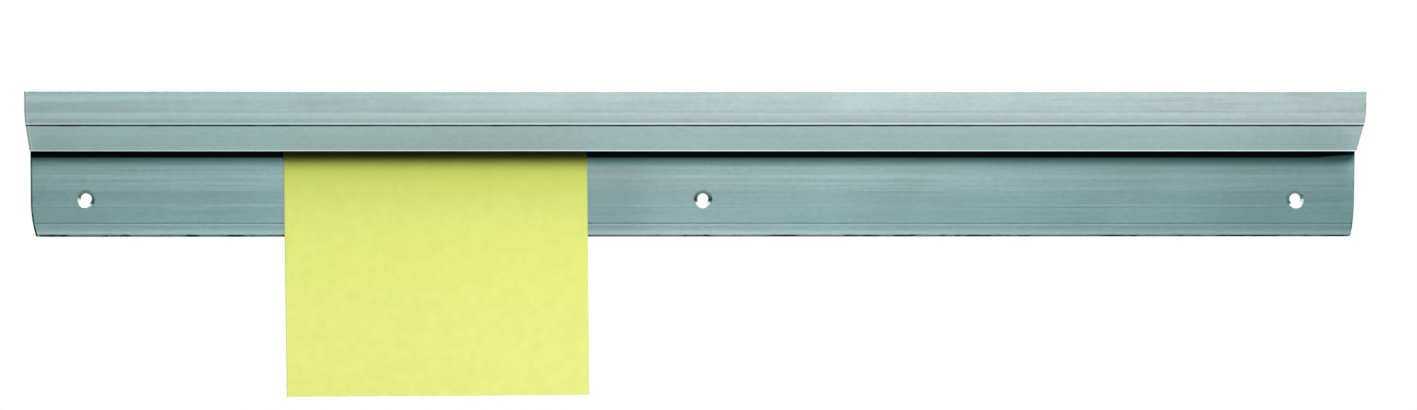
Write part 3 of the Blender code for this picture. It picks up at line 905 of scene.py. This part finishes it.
def make_rail():
    """The extrusion, with fine bevels at its cut ends and countersinks, and three finishes."""
    work = merged_copy("rail_extrusion")
    lower_nose(work)
    tighten_corner(work, -1, SOLID_LEFT_EASE, LEFT_EASE)
    tighten_corner(work, 1, SOLID_RIGHT_EASE, RIGHT_EASE)
    bevel_edges(work, rim_edges(work), 0.00008)
    finishes = [EXTRUDED, SAWN, TURNED]
    for face in work.faces:
        middle = face.calc_center_median()
        if abs(face.normal.x) > 0.6 and abs(middle.x) > NEAR_END:
            face.material_index = finishes.index(SAWN)
        elif hole_radius(middle) < COUNTERSINK_RADIUS + 0.00004:
            face.material_index = finishes.index(TURNED)
    rail = new_piece("extruded_rail", work, finishes)
    weigh_normals(rail)
    take_place(rail, "rail_extrusion", "rail")


def make_plug(node, side):
    """A moulded plug with rounded edges and a round pull boss on the floor of its recess."""
    rounding = 0.0002
    boss_radius = 0.0024
    boss_height = 0.0010
    boss_back = 0.0016  # from the plug's middle towards the plate
    boss_drop = 0.0078  # from the plug's top
    work = merged_copy(node)
    sharp = [edge for edge in work.edges if edge.calc_face_angle(0) > SHARP_TURN]
    bevel_edges(work, sharp, rounding)
    low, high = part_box(node)
    floor = (HALF_LENGTH - PLUG_RECESS - PLUG_LENGTH + PLUG_FLOOR) * side
    middle = Vector((floor, (low[1] + high[1]) / 2 + boss_back, high[2] - boss_drop))
    place = Matrix.Translation(middle) @ Matrix.Rotation(math.pi / 2, 4, "Y")
    boss = bmesh.ops.create_cone(
        work, cap_ends=True, segments=32, radius1=boss_radius, radius2=boss_radius,
        depth=boss_height, matrix=place,
    )
    boss_corners = set(boss["verts"])
    boss_edges = [edge for edge in work.edges if edge.verts[0] in boss_corners]
    sharp = [edge for edge in boss_edges if edge.calc_face_angle(0) > SHARP_TURN]
    bevel_edges(work, sharp, rounding)
    plug = new_piece("moulded_" + node, work, [PLASTIC])
    weigh_normals(plug)
    take_place(plug, node, "rail")


def add_vane(work, radius, first_turn):
    """One curved blade inside a marble, twisted round the marble's axis."""
    rows = 10
    half_height = 0.66 * radius
    widest = 0.62 * radius
    core = 0.02 * radius
    thick = 0.055 * radius
    twist = 0.7
    rings = []
    for row in range(rows + 1):
        share = row / rows * 2 - 1
        reach = widest * math.sqrt(max(1 - share**2, 0.0)) + core
        turn = first_turn + share * twist
        out = Vector((math.cos(turn), math.sin(turn), 0))
        aside = Vector((-out.y, out.x, 0)) * thick
        up = Vector((0, 0, share * half_height))
        rings.append([
            work.verts.new(up + aside * 0.4),
            work.verts.new(up + out * reach * 0.55 + aside),
            work.verts.new(up + out * reach + aside * 0.1),
            work.verts.new(up + out * reach * 0.55 - aside),
            work.verts.new(up - aside * 0.4),
        ])
    faces = []
    for first, second in zip(rings, rings[1:]):
        corners = len(first)
        for i in range(corners):
            j = (i + 1) % corners
            faces.append(work.faces.new((first[i], first[j], second[j], second[i])))
    faces.append(work.faces.new(rings[0][::-1]))
    faces.append(work.faces.new(rings[-1]))
    for face in faces:
        face.material_index = 1


def make_marble(number, body):
    """A glass ball with a cat's-eye vane of three blades."""
    node = f"marble_{number:02d}"
    low, high = (Vector(corner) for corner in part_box(node))
    radius = (high.z - low.z) / 2
    rng = random.Random(MARBLE_SEED + number - 1)
    work = bmesh.new()
    bmesh.ops.create_uvsphere(work, u_segments=48, v_segments=24, radius=radius)
    blades = 3
    for blade in range(blades):
        add_vane(work, radius, blade / blades * math.tau)
    turn = Matrix.Rotation(rng.uniform(0, math.tau), 4, "X")
    turn = turn @ Matrix.Rotation(rng.uniform(0, math.tau), 4, "Y")
    place = Matrix.Translation((low + high) / 2) @ turn
    bmesh.ops.transform(work, matrix=place, verts=work.verts)
    bmesh.ops.recalc_face_normals(work, faces=work.faces)
    marble = new_piece("glass_" + node, work, [GLASS, rng.choice(VANES)], 60.0)
    take_place(marble, node, body)


def make_slip():
    """A square of paper, flat where the rail holds it and a little sprung below."""
    squares = 56
    spring_height = 0.010
    spring_length = 0.102
    work = bmesh.new()
    bmesh.ops.create_grid(work, x_segments=squares, y_segments=squares, size=SLIP_SIDE / 2)
    turn = Matrix.Rotation(-SLIP_TURN, 4, "Y") @ Matrix.Rotation(math.pi / 2, 4, "X")
    place = Matrix.Translation((SLIP_CENTRE, SLIP_DEPTH, SLIP_MIDDLE)) @ turn
    bmesh.ops.transform(work, matrix=place, verts=work.verts)
    for vert in work.verts:
        below = max(0.0, spring_height - vert.co.z) / spring_length
        across = (vert.co.x - SLIP_CENTRE) / (SLIP_SIDE / 2)
        lean = 0.0006 * below**2
        wave = 0.00022 * below * math.sin(2.2 * across + 0.8)
        ripple = 0.00012 * below * math.sin(5.3 * across)
        vert.co.y -= lean + (wave + ripple)
        down = (SLIP_MIDDLE + SLIP_SIDE / 2 - vert.co.z) / SLIP_SIDE
        vert.co.x += (SLIP_MIDDLE - vert.co.z) * math.tan(SLIP_SKEW)
        vert.co.z += SLIP_TRIM * max(0.0, down)
    bmesh.ops.recalc_face_normals(work, faces=work.faces)
    bmesh.ops.solidify(work, geom=work.faces[:], thickness=PAPER_THICKNESS)
    slip = new_piece("paper_slip", work, [PAPER], 50.0)
    take_place(slip, "order_slip", "slip")


make_rail()
make_plug("end_plug_left", -1)
make_plug("end_plug_right", 1)
for marble_number, marble_body in enumerate(MARBLE_BODIES, 1):
    make_marble(marble_number, marble_body)
make_slip()


# Studio

FLOOR_HEIGHT = -0.250
FLOOR_RADIUS = 1.05
FADE_START = 0.62
FADE_END = 1.02
FLOOR_SEEN = (0.86, 0.86, 0.86, 1.0)
FLOOR_UNSEEN = (0.012, 0.012, 0.012, 1.0)  # for the light that it throws back on the rail
AMBIENT = 0.02


def make_floor():
    """A pale round floor that fades into the white background at its edge."""
    work = bmesh.new()
    bmesh.ops.create_circle(work, cap_ends=True, segments=96, radius=FLOOR_RADIUS)
    bmesh.ops.translate(work, verts=work.verts, vec=(0, 0, FLOOR_HEIGHT))
    mesh = bpy.data.meshes.new("floor")
    work.to_mesh(mesh)
    work.free()
    material, tree, shader = new_material("pale floor")
    rays = put(tree, "ShaderNodeLightPath").outputs
    x, y, _ = parts_of(tree, object_place(tree))
    away = calc(tree, "SQRT", plus(tree, times(tree, x, x), times(tree, y, y)))
    colour = mixed(tree, rays["Is Camera Ray"], FLOOR_UNSEEN, FLOOR_SEEN)
    # Behind the rail the floor glows for glossy rays, dimmer to the left: painted light that the
    # metal reflects
    behind = ranged(tree, y, -0.85, -0.22, 0.0, 0.95)
    at_left = ranged(tree, x, -0.45, 0.05, 0.58, 1.0)
    at_right = ranged(tree, x, 0.25, 0.70, 1.0, 0.82)
    aside = times(tree, at_left, at_right)
    glow = times(tree, rays["Is Glossy Ray"], times(tree, behind, aside))
    shader.inputs["Roughness"].default_value = 0.8
    shader.inputs["Emission Color"].default_value = WHITE
    alpha = falling(tree, away, FADE_START, FADE_END)
    feed(tree, shader, Base_Color=colour, Emission_Strength=glow, Alpha=alpha)
    mesh.materials.append(material)
    floor = bpy.data.objects.new("floor", mesh)
    bpy.context.scene.collection.objects.link(floor)


def make_world():
    """White for the camera and for what glass and metal show of the background, dim elsewhere."""
    world = bpy.data.worlds.new("studio")
    world.use_nodes = True
    tree = world.node_tree
    for old in list(tree.nodes):
        tree.nodes.remove(old)
    rays = put(tree, "ShaderNodeLightPath").outputs
    direction = tree.nodes.new("ShaderNodeTexCoord").outputs["Generated"]
    _, y, _ = parts_of(tree, direction)
    glossy = times(tree, rays["Is Glossy Ray"], ranged(tree, y, -0.10, 0.30))
    seen = largest(tree, rays["Is Camera Ray"], rays["Is Transmission Ray"])
    plain = times(tree, rays["Is Diffuse Ray"], AMBIENT)
    level = plus(tree, largest(tree, seen, glossy), plain)
    background = put(tree, "ShaderNodeBackground", {"Color": WHITE, "Strength": level})
    put(tree, "ShaderNodeOutputWorld", {"Surface": background.outputs[0]})
    bpy.context.scene.world = world


def make_lamp(name, place, target, size, power):
    light = bpy.data.lights.new(name, "AREA")
    light.shape = "RECTANGLE"
    light.size, light.size_y = size
    light.energy = power
    lamp = bpy.data.objects.new(name, light)
    lamp.location = place
    lamp.rotation_euler = (Vector(target) - Vector(place)).to_track_quat("-Z", "Y").to_euler()
    lamp.visible_camera = False
    bpy.context.scene.collection.objects.link(lamp)


def make_camera():
    """A long lens left of the rail's middle and above it, shifted to frame the whole rail."""
    data = bpy.data.cameras.new("camera")
    data.sensor_width = 36.0
    data.lens = 91.0
    data.shift_x = 0.154
    camera = bpy.data.objects.new("camera", data)
    camera.location = (-0.0931, -1.649, 0.098)
    camera.rotation_euler = (math.radians(86.5), 0, 0)
    bpy.context.scene.collection.objects.link(camera)
    bpy.context.scene.camera = camera


make_camera()
make_floor()
make_world()
make_lamp("key softbox", (0.38, -1.20, 1.38), (0.1, 0, 0.02), (1.2, 0.30), 34.5)
make_lamp("overhead softbox", (0.2, -0.58, 1.56), (0, 0, 0), (1.4, 0.90), 33.0)
make_lamp("back softbox", (0.0, 1.60, 1.10), (0, 0, 0), (1.6, 0.8), 14.0)
bpy.context.scene.view_settings.view_transform = "Standard"
